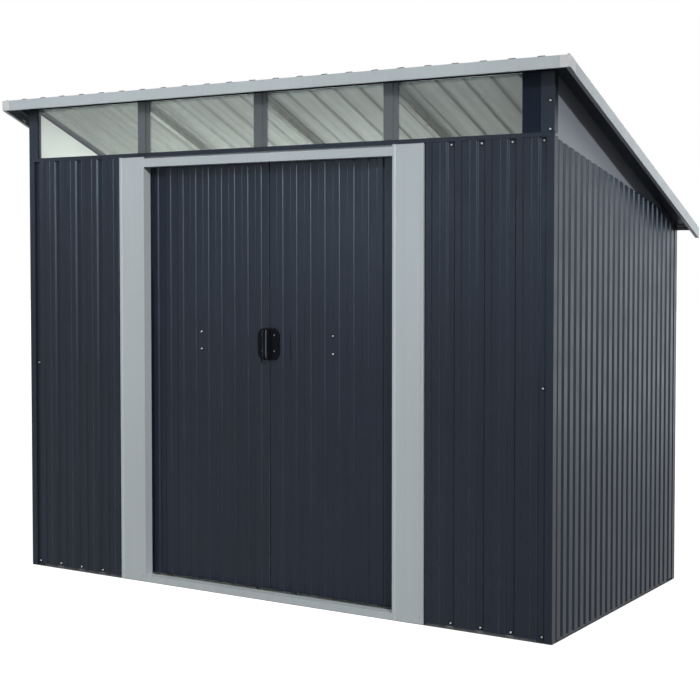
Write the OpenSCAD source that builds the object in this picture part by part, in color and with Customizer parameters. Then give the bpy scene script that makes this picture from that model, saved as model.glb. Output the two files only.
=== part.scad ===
// Metal garden shed with a lean-to roof, a row of windows over the door and two sliding door leaves.
// Millimetres, +Z up, +X to the right of someone facing the door, +Y towards the back.
// The origin is on the ground, at the middle of the rectangle that the walls stand on.
// Depths are measured from the outer face of a wall, inwards.

/* [Building] */
// Width of the walls over their outer faces
wall_w = 2400; // [2200:10:2800]
// Depth of the walls over their outer faces
wall_d = 1196; // [1000:4:1500]
// Height of the front sheets, up to the underside of the window sill
front_h = 1704; // [1500:2:2000]

/* [Roof] */
// Fall of the roof towards the back, in degrees
roof_slope = 22.7; // [18:0.1:24]
// Overhang of the roof in front of the walls
overhang_front = 67; // [45:1:90]
// Overhang of the roof past each side wall
overhang_side = 83; // [70:1:120]
// Overhang of the roof behind the walls
overhang_rear = 20; // [15:1:60]
// Spacing of the ribs on the roof sheets
roof_rib_pitch = 107; // [80:1:140]
// Width of the flat top of a roof rib
roof_rib_w = 26; // [18:1:34]
// Height of a roof rib
roof_rib_d = 9; // [6:0.5:12]
// Distance of the roof sheets' front and rear ends from the edges of the trim, along the slope
roof_setback = 12; // [2:0.5:16]
// Height of the trim along the roof's front and side edges
trim_h = 41; // [28:1:50]
// Height of the trim along the roof's rear edge
rear_trim_h = 10; // [8:1:40]
// Width of the trim's flange on top of the roof
trim_flange = 25; // [20:1:35]
// Width of the trim's bottom lip
trim_lip = 15; // [8:1:20]
// Thickness of the trim
trim_t = 1; // [0.6:0.1:1.5]
// Width of a corner cap across the front of the trim
cap_w = 36; // [30:1:50]
// Length of a corner cap along the slope
cap_l = 42; // [30:1:60]
// Wall thickness of a corner cap
cap_t = 2; // [1:0.5:3]
// Width of a roof beam's flange
beam_w = 24; // [18:1:40]
// Height of a roof beam
beam_h = 36; // [25:1:50]

/* [Sheets] */
// Thickness of the wall, roof and door sheets
sheet_t = 0.7; // [0.4:0.1:1.2]
// Depth of the ribs on the wall sheets
rib_d = 9; // [6:0.5:12]
// Width across a rib's sloping flank
rib_flank = 6; // [4:0.5:7]
// Spacing of the ribs on the side and rear sheets
side_rib_pitch = 50; // [48:0.2:60]
// Width of the flat top of a side or rear rib
side_rib_w = 30; // [20:1:32]
// Spacing of the valleys on the front sheets
front_rib_pitch = 117; // [100:1:140]
// Width of the flat floor of a valley on the front sheets
front_valley_w = 24; // [18:1:30]
// Width of the shallow swage in the middle of each front pan
swage_w = 29; // [20:1:36]
// Depth of the swage
swage_d = 2.5; // [1:0.5:4]
// Lap of a gable sheet behind the top of a side sheet
gable_lap = 30; // [20:1:45]
// Distance from the back of the rear wall to the point where a gable's lower edge meets the roof
gable_margin = 120; // [80:1:200]
// Height of the wall sheets' lower edges above the ground
sheet_lift = 10; // [3:1:16]

/* [Frame] */
// Thickness of the base rails, the sill and the runners' tracks
rail_t = 1.5; // [1:0.1:2.5]
// Height of a base rail's upright leg
rail_leg = 26; // [20:1:40]
// Width of the side and rear base rails on the ground
rail_web = 64; // [50:1:90]
// Width of the front base rail on the ground
front_web = 90; // [84:1:120]
// Thickness of the corner posts and the lighter rails
post_t = 1; // [0.8:0.1:1.5]
// Width of a corner post's outer face
corner_leg = 28; // [18:1:30]
// Width of a corner post's flange behind the sheets
corner_flange = 33; // [26:1:45]
// Height of the middle of the rails halfway up the walls
mid_rail_z = 862; // [700:1:1000]
// Height of a rail halfway up the walls
mid_rail_h = 40; // [30:1:60]
// Depth of the rails inside the walls
mid_rail_d = 25; // [18:1:35]
// Diameter of the anchor holes in the base rails
anchor_d = 9; // [7:0.5:13]
// Distance of the anchor holes from the outer face of the front and rear walls
anchor_edge = 35; // [30:1:45]
// Distance of the anchor holes from the outer faces of the side walls
anchor_inset = 100; // [80:1:200]

/* [Doorway] */
// Half of the clear width of the doorway
opening_half = 575; // [500:1:600]
// Width of a jamb's face
jamb_w = 127; // [100:1:140]
// Depth of the doorway's reveals
reveal_d = 42; // [34:1:50]
// Width of the raised bead along each edge of a jamb
jamb_bead_w = 10; // [6:1:16]
// Depth of the jamb's face behind its beads
jamb_bead_d = 2; // [1:0.5:4]
// Height of the header's face
header_h = 33; // [26:1:38]
// Height from the header's face to the top of the front sheets
header_drop = 8; // [4:1:14]
// Height of the threshold
threshold_h = 26; // [18:1:28]
// Thickness of the jambs, the header and the threshold
door_trim_t = 1.2; // [0.8:0.1:2]

/* [Sliding doors] */
// Clearance between the doorway's reveals and the doors
door_clear = 8; // [6:1:14]
// Gap between the two closed doors
door_gap = 5; // [5:0.5:10]
// Lap of a closed door behind its jamb
door_lap = 30; // [20:1:40]
// Height of the doors' lower edge above the threshold
door_lift = 6; // [6:1:16]
// Spacing of the ribs on the doors
door_rib_pitch = 63; // [50:1:90]
// Width of the flat top of a door rib
door_rib_w = 24; // [18:1:34]
// Depth of the ribs on the doors
door_rib_d = 5; // [3:0.5:6]
// Width of the flat strip along each upright edge of a door's sheet
door_edge_w = 16; // [4:1:30]
// Width across the sloping flank of a door rib
door_flank = 4; // [3:0.5:6]
// Depth of the frame behind a door's sheet
door_frame_d = 20; // [18:1:24]
// Width of the stiles and rails of a door's frame
door_frame_w = 28; // [22:1:40]
// Height of the middle of a door's brace
door_brace_z = 975; // [800:1:1100]
// Height of a door's brace
door_brace_h = 90; // [40:1:120]
// Width of the track that the doors hang in
track_w = 30; // [28:1:34]
// Height of the track that the doors hang in
track_h = 22; // [20:1:26]
// Width of each bottom lip of the hanging track
track_lip = 9; // [8:0.5:10]
// Distance of the tracks' ends from the outer faces of the side walls
track_end = 70; // [65:1:90]
// Height of the door's upper edge below the hanging track
door_top_gap = 8; // [6:1:9]
// Clearance on each side of a hanger's stem between the track's lips
stem_gap = 2; // [1:0.25:3]
// Clearance on each side of a hanger's head inside the track
head_gap = 2.5; // [1:0.25:4]
// Height of a hanger's head
head_h = 8; // [6:0.5:10]
// Running clearance under a hanger's head
run_gap = 0.3; // [0.2:0.05:0.6]
// Length of a hanger or a bottom guide
runner_l = 46; // [30:1:70]
// Distance of the runners' middles from the doors' edges
runner_edge = 90; // [60:1:160]
// Width of the bottom guide track
guide_track_w = 18; // [16:1:20]
// Height of the bottom guide track
guide_track_h = 16; // [12:1:20]
// Clearance on each side of a bottom guide inside its track
guide_gap = 1.5; // [0.5:0.25:3]
// Height of a bottom guide's lower end above the floor of its track
guide_lift = 3; // [2:0.5:5]

/* [Handles] */
// Height of a handle's plate
handle_h = 120; // [100:1:150]
// Width of a handle's plate
handle_w = 46; // [38:1:60]
// Radius of the plate's two outer corners
handle_r = 30; // [15:1:36]
// Thickness of a handle's plate
handle_t = 4; // [3:0.5:5]
// Distance of a plate from the door's meeting edge
handle_edge = 2; // [1:0.5:6]
// Height of the middle of the handles
handle_z = 974; // [900:1:1050]
// Distance that a handle's grip stands out from its plate
grip_d = 28; // [20:1:32]
// Thickness of a handle's grip
grip_t = 5; // [4:0.5:8]
// Radius of the grip's outer corners
grip_r = 16; // [8:1:20]

/* [Windows] */
// Height of the window sill's face
sill_h = 15; // [14:1:26]
// Height of the windows, from the sill to the head rail
window_h = 201; // [140:1:260]
// Height of the head rail's front face
head_rail_h = 16; // [15.5:0.5:40]
// Depth of the head rail
head_d = 24; // [20:1:26]
// Distance that the head rail stands in front of the walls
head_out = 10; // [6:1:16]
// Distance between neighbouring mullions
mullion_pitch = 570; // [500:1:620]
// Number of mullions
mullions_n = 3; // [1:2:5]
// Width of a mullion
mullion_w = 56; // [46:1:70]
// Width of the lower step along a mullion's right edge
mullion_step_w = 20; // [10:1:26]
// Distance that a mullion stands in front of the walls
mullion_out = 4; // [2:0.5:8]
// Depth of a mullion's step behind its face
mullion_step_d = 3; // [1:0.5:4]
// Width of the face of the posts at the ends of the window row
window_post_w = 50; // [36:1:60]
// Depth of the panes behind the front of the walls
pane_d = 4; // [3:0.5:8]
// Thickness of the panes
pane_t = 3; // [2:0.5:5]
// Width of the blank plate at the right end of the window row
blank_w = 70; // [50:1:90]
// Thickness of the blank plate
blank_t = 1; // [0.8:0.1:1.5]

/* [Hidden] */
// Gap left between sheets that lie edge to edge
edge_gap = 0.5;
// Gap between the top of a wall and what passes over it
top_gap = 1;
// Gap between a roof sheet and the trim and rails that it lies on
seat_gap = 0.3;
// Lap of a pane, a sheet or a plate behind the piece that covers its edge
cover_lap = 10;

// Number of roof sheets side by side, half of them left of the middle
roof_sheets = 4;

half_w = wall_w / 2;
front_y = -wall_d / 2;
sheet_depth = rib_d + sheet_t;
roof_half = half_w + overhang_side;
roof_rear_d = wall_d + overhang_rear;
roof_len = (roof_rear_d + overhang_front) / cos(roof_slope);
jamb_outer = opening_half + jamb_w;
post_inset = corner_leg + corner_flange + top_gap;
sill_top = front_h + sill_h;
sill_d = corner_leg;
head_z = sill_top + window_h;
head_rail_top = head_z + head_rail_h;
roof_h = head_rail_top + (overhang_front - head_out) * tan(roof_slope);
opening_h = front_h - header_drop - header_h;
anchor_span = wall_w - 2 * anchor_inset;
gable_depth = sheet_depth;
inner_depth = gable_depth + sheet_t;
side_first = corner_leg + edge_gap;
side_last = wall_d - corner_leg - edge_gap;
door_d = reveal_d + door_clear;
door_bottom = threshold_h + door_lift;
door_w = opening_half + door_lap - door_gap / 2;
door_top = front_h - track_h - door_top_gap;
frame_front = door_d + door_rib_d + sheet_t;
frame_back = frame_front + door_frame_d;
run_d = frame_front + door_frame_d / 2;
stem_w = track_w - 2 * track_lip - 2 * stem_gap;
head_w = track_w - 2 * rail_t - 2 * head_gap;
guide_w = guide_track_w - 2 * rail_t - 2 * guide_gap;
mullion_xs = [for (i = [0 : mullions_n - 1]) (i - (mullions_n - 1) / 2) * mullion_pitch];
blank_x = half_w - window_post_w - blank_w;

navy = "#3a4150";
pale = "#b4bcc0";
zinc = "#9aa09c";
dark = "#4c5154";

// Height of the plane that the roof sheets lie on, at a depth behind the front
function seat_z(d) = roof_h - (d + overhang_front) * tan(roof_slope);

// Height just under the trim's flanges at a depth behind the front
function under_trim_z(d) = seat_z(d) - trim_t / cos(roof_slope) - top_gap;

rear_h = under_trim_z(wall_d);
gable_end = wall_d - gable_margin;

// Height of the side sheets' upper edge: below the gable at first, then under the roof
function wall_z(d) =
    d < gable_end ? front_h - d * (front_h - under_trim_z(gable_end)) / gable_end : under_trim_z(d);

function unit(v) = v / norm(v);

function left_normal(a, b) = let (along = unit(b - a)) [-along[1], along[0]];

// Point i of a path, moved to its left by t with a mitre at each bend
function moved_point(path, i, t) =
    let (
        last = len(path) - 1,
        before = left_normal(path[max(i - 1, 0)], path[max(i - 1, 0) + 1]),
        after = left_normal(path[min(i, last - 1)], path[min(i, last - 1) + 1]),
        middle = unit(before + after)
    )
    path[i] + middle * t / (middle * before);

// Outline of a bent strip: its outer face follows the path and its thickness lies to the left
function strip(path, t) = concat(path, [for (i = [len(path) - 1 : -1 : 0]) moved_point(path, i, t)]);

// Points of one pressed crest about its centre, with an optional swage in its middle
function crest(centre, w, flank, edge_d, crest_d, mid_w, mid_d) = concat(
    [[centre - w / 2 - flank, edge_d], [centre - w / 2, crest_d]],
    mid_d == 0 ? [] : [
        [centre - mid_w / 2 - mid_d, crest_d],
        [centre - mid_w / 2, crest_d + mid_d],
        [centre + mid_w / 2, crest_d + mid_d],
        [centre + mid_w / 2 + mid_d, crest_d]
    ],
    [[centre + w / 2, crest_d], [centre + w / 2 + flank, edge_d]]
);

// Path across a pressed sheet from first to last: n crests between flat edges of width edge_w
function pressed(first, last, n, w, flank, edge_d, crest_d, edge_w = 0, mid_w = 0, mid_d = 0) =
    let (pitch = (last - first - 2 * edge_w) / n)
    concat(
        [[first, edge_d]],
        [for (i = [0 : n - 1])
            each crest(first + edge_w + (i + 0.5) * pitch, w, flank, edge_d, crest_d, mid_w, mid_d)],
        [[last, edge_d]]
    );

// Places what is drawn with y as the depth behind the front wall
module from_front() {
    translate([0, front_y, 0]) children();
}

// Places a sheet drawn along x with y as its depth inwards on the right-hand wall
module on_right_wall() {
    from_front() translate([half_w, 0, 0]) rotate([0, 0, 90]) children();
}

module on_rear_wall() {
    from_front() translate([0, wall_d, 0]) rotate([0, 0, 180]) children();
}

// Lays what is drawn across x, with y down into the roof and z down the slope, on the roof
module on_roof() {
    from_front() translate([0, -overhang_front, roof_h]) rotate([-90 - roof_slope, 0, 0]) children();
}

// Extrudes a cross-section of depth and height along x
module along_x(first, last) {
    translate([first, 0, 0]) rotate([90, 0, 90]) linear_extrude(last - first) children();
}

module mirrored_pair() {
    children();
    mirror([1, 0, 0]) children();
}

// Base rail: a strip on the ground, as a cross-section of depth and height
module base_web(w) {
    square([w, rail_t]);
}

module base_leg() {
    translate([sheet_depth, 0]) square([rail_t, rail_leg]);
}

module anchor_holes(depth) {
    for (x = [-1, 1] * anchor_span / 2)
        translate([x, depth, -1]) cylinder(d = anchor_d, h = rail_t + 2, $fn = 48);
}

module front_base_rail() {
    color(zinc) from_front() difference() {
        union() {
            along_x(-half_w, half_w) base_web(front_web);
            mirrored_pair() along_x(jamb_outer + cover_lap, half_w - post_inset) base_leg();
        }
        anchor_holes(anchor_edge);
    }
}

module rear_base_rail() {
    color(zinc) on_rear_wall() difference() {
        union() {
            along_x(-half_w, half_w) base_web(rail_web);
            along_x(post_inset - half_w, half_w - post_inset) base_leg();
        }
        anchor_holes(anchor_edge);
    }
}

module side_base_rails() {
    last = wall_d - max(rail_web, post_inset);
    color(zinc) mirrored_pair() on_right_wall() along_x(front_web, last) {
        base_web(rail_web);
        base_leg();
    }
}

module threshold() {
    profile = [[reveal_d, rail_t], [reveal_d, threshold_h], [0, threshold_h], [0, rail_t]];
    color(pale) from_front() along_x(-opening_half, opening_half) polygon(strip(profile, door_trim_t));
}

module bottom_track() {
    near = run_d - guide_track_w / 2;
    far = run_d + guide_track_w / 2;
    top = rail_t + guide_track_h;
    profile = [[near, top], [near, rail_t], [far, rail_t], [far, top]];
    color(zinc) from_front() along_x(track_end - half_w, half_w - track_end) polygon(strip(profile, rail_t));
}

// Corner post: an outer angle with a stepped flange behind each sheet, about the outer corner
function post_path(front_step, side_step) = [
    [-corner_leg - corner_flange, front_step], [-corner_leg, front_step], [-corner_leg, 0], [0, 0],
    [0, corner_leg], [-side_step, corner_leg], [-side_step, corner_leg + corner_flange]
];

module corner_post(height) {
    translate([half_w, 0, rail_t]) linear_extrude(height - rail_t)
        polygon(strip(post_path(sheet_depth, sheet_depth), post_t));
}

// Wedge over the sloping top of the side walls, behind the corner posts' outer faces
module over_wall_tops() {
    last = corner_leg + 2 * corner_flange;
    along_x(-half_w - 1, half_w + 1) polygon([
        [corner_leg, wall_z(corner_leg)], [last, wall_z(last)], [last, roof_h], [corner_leg, roof_h]
    ]);
}

module front_posts() {
    color(navy) from_front() mirrored_pair() difference() {
        corner_post(front_h);
        over_wall_tops();
    }
}

// Wedge over the rear posts, from the underside of the roof trim upwards
module over_rear_posts() {
    first = wall_d - corner_leg - 2 * corner_flange;
    last = wall_d + 1;
    along_x(-half_w - 1, half_w + 1) polygon([
        [first, under_trim_z(first)], [last, under_trim_z(last)], [last, roof_h], [first, roof_h]
    ]);
}

module rear_posts() {
    color(navy) from_front() difference() {
        translate([0, wall_d, 0]) mirror([0, 1, 0]) mirrored_pair() corner_post(front_h);
        over_rear_posts();
    }
}

module front_sheet() {
    first = jamb_outer - front_valley_w + rib_flank / 2;
    last = half_w - corner_leg - edge_gap;
    count = max(1, round((last - first - front_valley_w) / front_rib_pitch));
    pan = (last - first - front_valley_w) / count - front_valley_w - 2 * rib_flank;
    path = pressed(first, last, count, pan, rib_flank, rib_d, 0, front_valley_w / 2, swage_w, swage_d);
    translate([0, 0, sheet_lift]) linear_extrude(front_h - sheet_lift) polygon(strip(path, sheet_t));
}

module front_left_sheet() {
    color(navy) from_front() mirror([1, 0, 0]) front_sheet();
}

module front_right_sheet() {
    color(navy) from_front() front_sheet();
}

module side_sheet() {
    count = round((side_last - side_first) / side_rib_pitch);
    path = pressed(side_first, side_last, count, side_rib_w, rib_flank, rib_d, 0);
    difference() {
        on_right_wall() translate([0, 0, sheet_lift]) linear_extrude(front_h - sheet_lift)
            polygon(strip(path, sheet_t));
        from_front() along_x(0, half_w + 1) polygon([
            [0, front_h], [gable_end, wall_z(gable_end)], [wall_d, rear_h], [wall_d, roof_h], [0, roof_h]
        ]);
    }
}

module left_wall() {
    color(navy) mirror([1, 0, 0]) side_sheet();
}

module right_wall() {
    color(navy) side_sheet();
}

module rear_sheet() {
    first = edge_gap / 2;
    last = half_w - corner_leg - edge_gap;
    count = round((last - first) / side_rib_pitch);
    path = pressed(first, last, count, side_rib_w, rib_flank, rib_d, 0);
    translate([0, 0, sheet_lift]) linear_extrude(rear_h - sheet_lift) polygon(strip(path, sheet_t));
}

module rear_left_sheet() {
    color(navy) on_rear_wall() rear_sheet();
}

module rear_right_sheet() {
    color(navy) on_rear_wall() mirror([1, 0, 0]) rear_sheet();
}

// Jamb of the right-hand side: a channel whose face is set back between two beads
module jamb() {
    inner_bead = opening_half + jamb_bead_w;
    outer_bead = jamb_outer - jamb_bead_w;
    profile = [
        [opening_half + jamb_bead_w, reveal_d], [opening_half, reveal_d], [opening_half, 0],
        [inner_bead, 0], [inner_bead + jamb_bead_d, jamb_bead_d],
        [outer_bead - jamb_bead_d, jamb_bead_d], [outer_bead, 0],
        [jamb_outer, 0], [jamb_outer, rib_d]
    ];
    translate([0, 0, rail_t]) linear_extrude(front_h - rail_t) polygon(strip(profile, door_trim_t));
}

module left_jamb() {
    color(pale) from_front() mirror([1, 0, 0]) jamb();
}

module right_jamb() {
    color(pale) from_front() jamb();
}

module header() {
    top = opening_h + header_h;
    step = sheet_depth + door_trim_t;
    profile = [[step, front_h], [step, top], [0, top], [0, opening_h], [reveal_d, opening_h]];
    color(pale) from_front() along_x(-opening_half, opening_half) polygon(strip(profile, door_trim_t));
}

module top_track() {
    near = run_d - track_w / 2;
    far = run_d + track_w / 2;
    low = front_h - track_h;
    profile = [
        [far - track_lip, low], [far, low], [far, front_h],
        [near, front_h], [near, low], [near + track_lip, low]
    ];
    color(zinc) from_front() along_x(track_end - half_w, half_w - track_end) polygon(strip(profile, rail_t));
}

// Sill and front top rail in one: it closes the top of the front wall and carries the door track
module window_sill() {
    inner = half_w - inner_depth - top_gap;
    color(navy) from_front() {
        along_x(-half_w, half_w) translate([0, front_h]) difference() {
            square([sill_d, sill_h]);
            translate([rail_t, rail_t]) square([sill_d, sill_h - 2 * rail_t]);
        }
        along_x(-inner, inner) translate([0, front_h]) square([run_d + track_w / 2, rail_t]);
        mirrored_pair() along_x(jamb_outer + cover_lap, half_w - post_inset)
            translate([sheet_depth, front_h - rail_leg]) square([rail_t, rail_leg + rail_t]);
    }
}

module head_rail() {
    near = -head_out;
    far = head_d - head_out;
    profile = [[far, seat_z(far)], [near, seat_z(near)], [near, head_z], [far, head_z]];
    color(navy) from_front() along_x(-half_w, half_w) polygon(strip(profile, post_t));
}

module mullions() {
    half = mullion_w / 2;
    step_x = half - mullion_step_w;
    profile = [
        [-half, pane_d], [-half, -mullion_out], [step_x, -mullion_out],
        [step_x, mullion_step_d - mullion_out], [half, mullion_step_d - mullion_out], [half, pane_d]
    ];
    color(dark) from_front() for (x = mullion_xs)
        translate([x, 0, sill_top]) linear_extrude(head_z - sill_top) polygon(mirrored_strip(profile, post_t));
}

// A strip whose thickness lies to the right of its path
function mirrored_strip(path, t) = strip([for (i = [len(path) - 1 : -1 : 0]) path[i]], t);

module over_roof() {
    span = roof_half + 1;
    on_roof() translate([-span, -roof_h, -roof_h]) cube([2 * span, roof_h, 3 * roof_h]);
}

module window_posts() {
    profile = [
        [-window_post_w, pane_d], [-window_post_w, 0], [0, 0], [0, corner_leg],
        [-inner_depth, corner_leg], [-inner_depth, corner_leg + corner_flange]
    ];
    color(navy) difference() {
        from_front() mirrored_pair() translate([half_w, 0, sill_top]) linear_extrude(head_z - sill_top)
            polygon(strip(profile, post_t));
        over_roof();
    }
}

module blank_plate() {
    color(navy) from_front() translate([blank_x, pane_d - blank_t, sill_top])
        cube([blank_w, blank_t, head_z - sill_top]);
}

module window_panes() {
    left_end = -half_w + window_post_w - cover_lap;
    right_end = blank_x + cover_lap;
    edges = concat([left_end], mullion_xs, [right_end]);
    color("#d8e0e2", 0.4) from_front() for (i = [0 : len(edges) - 2])
        translate([edges[i] + edge_gap, pane_d, sill_top])
            cube([edges[i + 1] - edges[i] - 2 * edge_gap, pane_t, head_z - sill_top]);
}

// Smooth sheet that fills the side between the wall's sloping top and the roof
module gable() {
    tab_first = post_inset;
    tab_last = wall_d - post_inset;
    outline = [
        [side_first, wall_z(side_first) + top_gap], [tab_first, wall_z(tab_first) + top_gap],
        [tab_first, wall_z(tab_first) - gable_lap], [gable_end, wall_z(gable_end) - gable_lap],
        [tab_last, wall_z(tab_last) - gable_lap],
        [tab_last, seat_z(tab_last)], [side_first, seat_z(side_first)]
    ];
    from_front() along_x(half_w - inner_depth, half_w - gable_depth) polygon(outline);
}

module left_gable() {
    color(navy) mirror([1, 0, 0]) gable();
}

module right_gable() {
    color(navy) gable();
}

// Band under a sloping line: heights below the side walls' tops, between two depths
function wall_top_band(first, last, upper, lower) = [
    [first, wall_z(first) - lower], [last, wall_z(last) - lower],
    [last, wall_z(last) - upper], [first, wall_z(first) - upper]
];

module side_top_rails() {
    first = post_inset;
    outer = half_w - inner_depth;
    color(navy) from_front() mirrored_pair() {
        along_x(outer - post_t, outer) polygon(wall_top_band(first, gable_end, 2 * top_gap, gable_lap));
        along_x(outer - mid_rail_d, outer)
            polygon(wall_top_band(first, gable_end, gable_lap - post_t, gable_lap));
    }
}

module rear_top_rail() {
    back = wall_d - sheet_depth;
    front = back - mid_rail_d - beam_w;
    profile = [[back, rear_h - mid_rail_h], [back, seat_z(back)], [front, seat_z(front)]];
    color(zinc) from_front() along_x(post_inset - half_w, half_w - post_inset) polygon(strip(profile, post_t));
}

// Channel between two places along a wall, open towards the room
module mid_rail(first, last) {
    low = mid_rail_z - mid_rail_h / 2;
    high = mid_rail_z + mid_rail_h / 2;
    back = sheet_depth + mid_rail_d;
    profile = [[back, high], [sheet_depth, high], [sheet_depth, low], [back, low]];
    along_x(first, last) polygon(strip(profile, post_t));
}

module mid_rails() {
    color(zinc) {
        mirrored_pair() on_right_wall() mid_rail(post_inset, wall_d - post_inset);
        on_rear_wall() mid_rail(post_inset - half_w, half_w - post_inset);
    }
}

// Path with its start bent down by a flank
function bent_start(path, run, drop) =
    concat([path[0] + [0, drop], path[0] + [run, 0]], [for (i = [1 : len(path) - 1]) path[i]]);

// Roof sheet i counted from the left verge; the sheet at the verge has its outer edge bent down
module roof_sheet(i) {
    sheet_w = 2 * (roof_half - trim_t) / roof_sheets;
    first = trim_t - roof_half + i * sheet_w + edge_gap / 2;
    last = first + sheet_w - edge_gap;
    count = round(sheet_w / roof_rib_pitch);
    valley = (last - first) / count - roof_rib_w - 2 * rib_flank;
    valley_y = -seat_gap - sheet_t;
    row = pressed(first, last, count, valley, rib_flank, valley_y - roof_rib_d, valley_y);
    path = i == 0 ? bent_start(row, rib_flank, roof_rib_d) : row;
    color(navy) on_roof() translate([0, 0, roof_setback]) linear_extrude(roof_len - 2 * roof_setback)
        polygon(strip(path, sheet_t));
}

module roof_sheet_1() { roof_sheet(0); }
module roof_sheet_2() { roof_sheet(1); }
module roof_sheet_3() { mirror([1, 0, 0]) roof_sheet(1); }
module roof_sheet_4() { mirror([1, 0, 0]) roof_sheet(0); }

// Band under the roof sheets: heights below the tops of their rails, between two depths
function roof_band(first, last, upper, lower) = [
    [first, seat_z(first) - lower], [last, seat_z(last) - lower],
    [last, seat_z(last) - upper], [first, seat_z(first) - upper]
];

module roof_beams() {
    first = head_d - head_out;
    last = wall_d - sheet_depth - mid_rail_d - beam_w - top_gap;
    color(zinc) from_front() for (x = mullion_xs) translate([x - beam_w / 2, 0, 0]) {
        along_x(0, post_t) polygon(roof_band(first, last, 0, beam_h));
        along_x(0, beam_w) polygon(roof_band(first, last, 0, post_t));
        along_x(0, beam_w) polygon(roof_band(first, last, beam_h - post_t, beam_h));
    }
}

module fascia() {
    near = -overhang_front;
    low = roof_h - trim_h;
    back = near + trim_flange;
    profile = [[back, seat_z(back)], [near, roof_h], [near, low], [near + trim_lip, low]];
    end = roof_half - trim_flange;
    color(pale) from_front() along_x(-end, end) polygon(strip(profile, trim_t));
}

module rear_trim() {
    far = roof_rear_d;
    low = seat_z(far) - rear_trim_h;
    front = far - trim_flange;
    profile = [[far - trim_lip, low], [far, low], [far, seat_z(far)], [front, seat_z(front)]];
    end = roof_half - trim_flange;
    color(pale) from_front() along_x(-end, end) polygon(strip(profile, trim_t));
}

// The space between the upright planes of the roof's front and rear edges
module between_eaves() {
    from_front() translate([-2 * roof_half, -overhang_front, 0])
        cube([4 * roof_half, roof_rear_d + overhang_front, 2 * roof_h]);
}

module verge_trims() {
    deep = trim_h * cos(roof_slope);
    profile = [
        [roof_half - trim_flange, 0], [roof_half, 0], [roof_half, deep], [roof_half - trim_lip, deep]
    ];
    color(pale) mirrored_pair() intersection() {
        on_roof() translate([0, 0, -trim_h]) linear_extrude(roof_len + 2 * trim_h) polygon(strip(profile, trim_t));
        between_eaves();
    }
}

// Caps over the front corners of the roof: a plate on the end of the fascia and one along the verge
module corner_caps() {
    first = -overhang_front;
    last = first + cap_l;
    color("#cfd0ce") from_front() mirrored_pair() {
        along_x(roof_half - cap_w, roof_half + cap_t)
            translate([first - cap_t, roof_h - trim_h]) square([cap_t, trim_h]);
        along_x(roof_half, roof_half + cap_t) polygon(roof_band(first, last, 0, trim_h));
    }
}

// The modules below draw the right-hand door; the left-hand one is its mirror image
door_first = door_gap / 2;
door_last = door_first + door_w;

module door_sheet() {
    count = round((door_w - 2 * door_edge_w) / door_rib_pitch);
    valley_d = door_d + door_rib_d;
    path = pressed(door_first, door_last, count, door_rib_w, door_flank, valley_d, door_d, door_edge_w);
    from_front() translate([0, 0, door_bottom]) linear_extrude(door_top - door_bottom)
        polygon(strip(path, sheet_t));
}

module door_stile() {
    profile = [
        [door_frame_w, frame_back], [0, frame_back], [0, frame_front], [door_frame_w, frame_front]
    ];
    translate([0, 0, door_bottom]) linear_extrude(door_top - door_bottom) polygon(strip(profile, post_t));
}

// Rail between the stiles: its web is at the height at, its legs reach to the height to
module door_rail(at, to) {
    near = at > to ? [frame_back, frame_front] : [frame_front, frame_back];
    profile = [[near[0], to], [near[0], at], [near[1], at], [near[1], to]];
    along_x(door_first + door_frame_w + edge_gap, door_last - door_frame_w - edge_gap)
        polygon(strip(profile, post_t));
}

module door_frame() {
    from_front() {
        translate([door_first, 0, 0]) door_stile();
        translate([door_last, 0, 0]) mirror([1, 0, 0]) door_stile();
        door_rail(door_top, door_top - door_frame_w);
        door_rail(door_bottom, door_bottom + door_frame_w);
        door_rail(door_brace_z + door_brace_h / 2, door_brace_z - door_brace_h / 2);
    }
}

// Two hangers in the upper track and two guides in the lower one
module door_runners() {
    head_low = front_h - track_h + rail_t + run_gap;
    guide_low = 2 * rail_t + guide_lift;
    from_front() for (x = [door_first + runner_edge, door_last - runner_edge])
        translate([x - runner_l / 2, run_d, 0]) {
            translate([0, -stem_w / 2, door_top]) cube([runner_l, stem_w, head_low + head_h - door_top]);
            translate([0, -head_w / 2, head_low]) cube([runner_l, head_w, head_h]);
            translate([0, -guide_w / 2, guide_low]) cube([runner_l, guide_w, door_bottom - guide_low]);
        }
}

// Outline with its corners at the far end of x rounded, from x = 0 and about y = 0
module half_round_plate(w, h, r) {
    translate([0, -h / 2]) square([w - r, h]);
    translate([0, r - h / 2]) square([w, h - 2 * r]);
    intersection() {
        translate([0, -h / 2]) square([w, h]);
        for (y = [r - h / 2, h / 2 - r]) translate([w - r, y]) circle(r, $fn = 64);
    }
}

module handle() {
    first = door_first + handle_edge;
    from_front() translate([first, door_d, handle_z]) {
        rotate([90, 0, 0]) linear_extrude(handle_t) half_round_plate(handle_w, handle_h, handle_r);
        mirror([0, 1, 0]) along_x(0, grip_t)
            half_round_plate(handle_t + grip_d, handle_h, grip_r);
    }
}

module right_door() {
    color(navy) door_sheet();
}

module right_door_frame() {
    color(navy) door_frame();
}

module right_door_runners() {
    color("#d8d6cc") door_runners();
}

module right_handle() {
    color("#14161a") handle();
}

module left_door() {
    color(navy) mirror([1, 0, 0]) door_sheet();
}

module left_door_frame() {
    color(navy) mirror([1, 0, 0]) door_frame();
}

module left_door_runners() {
    color("#d8d6cc") mirror([1, 0, 0]) door_runners();
}

module left_handle() {
    color("#14161a") mirror([1, 0, 0]) handle();
}

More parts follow.
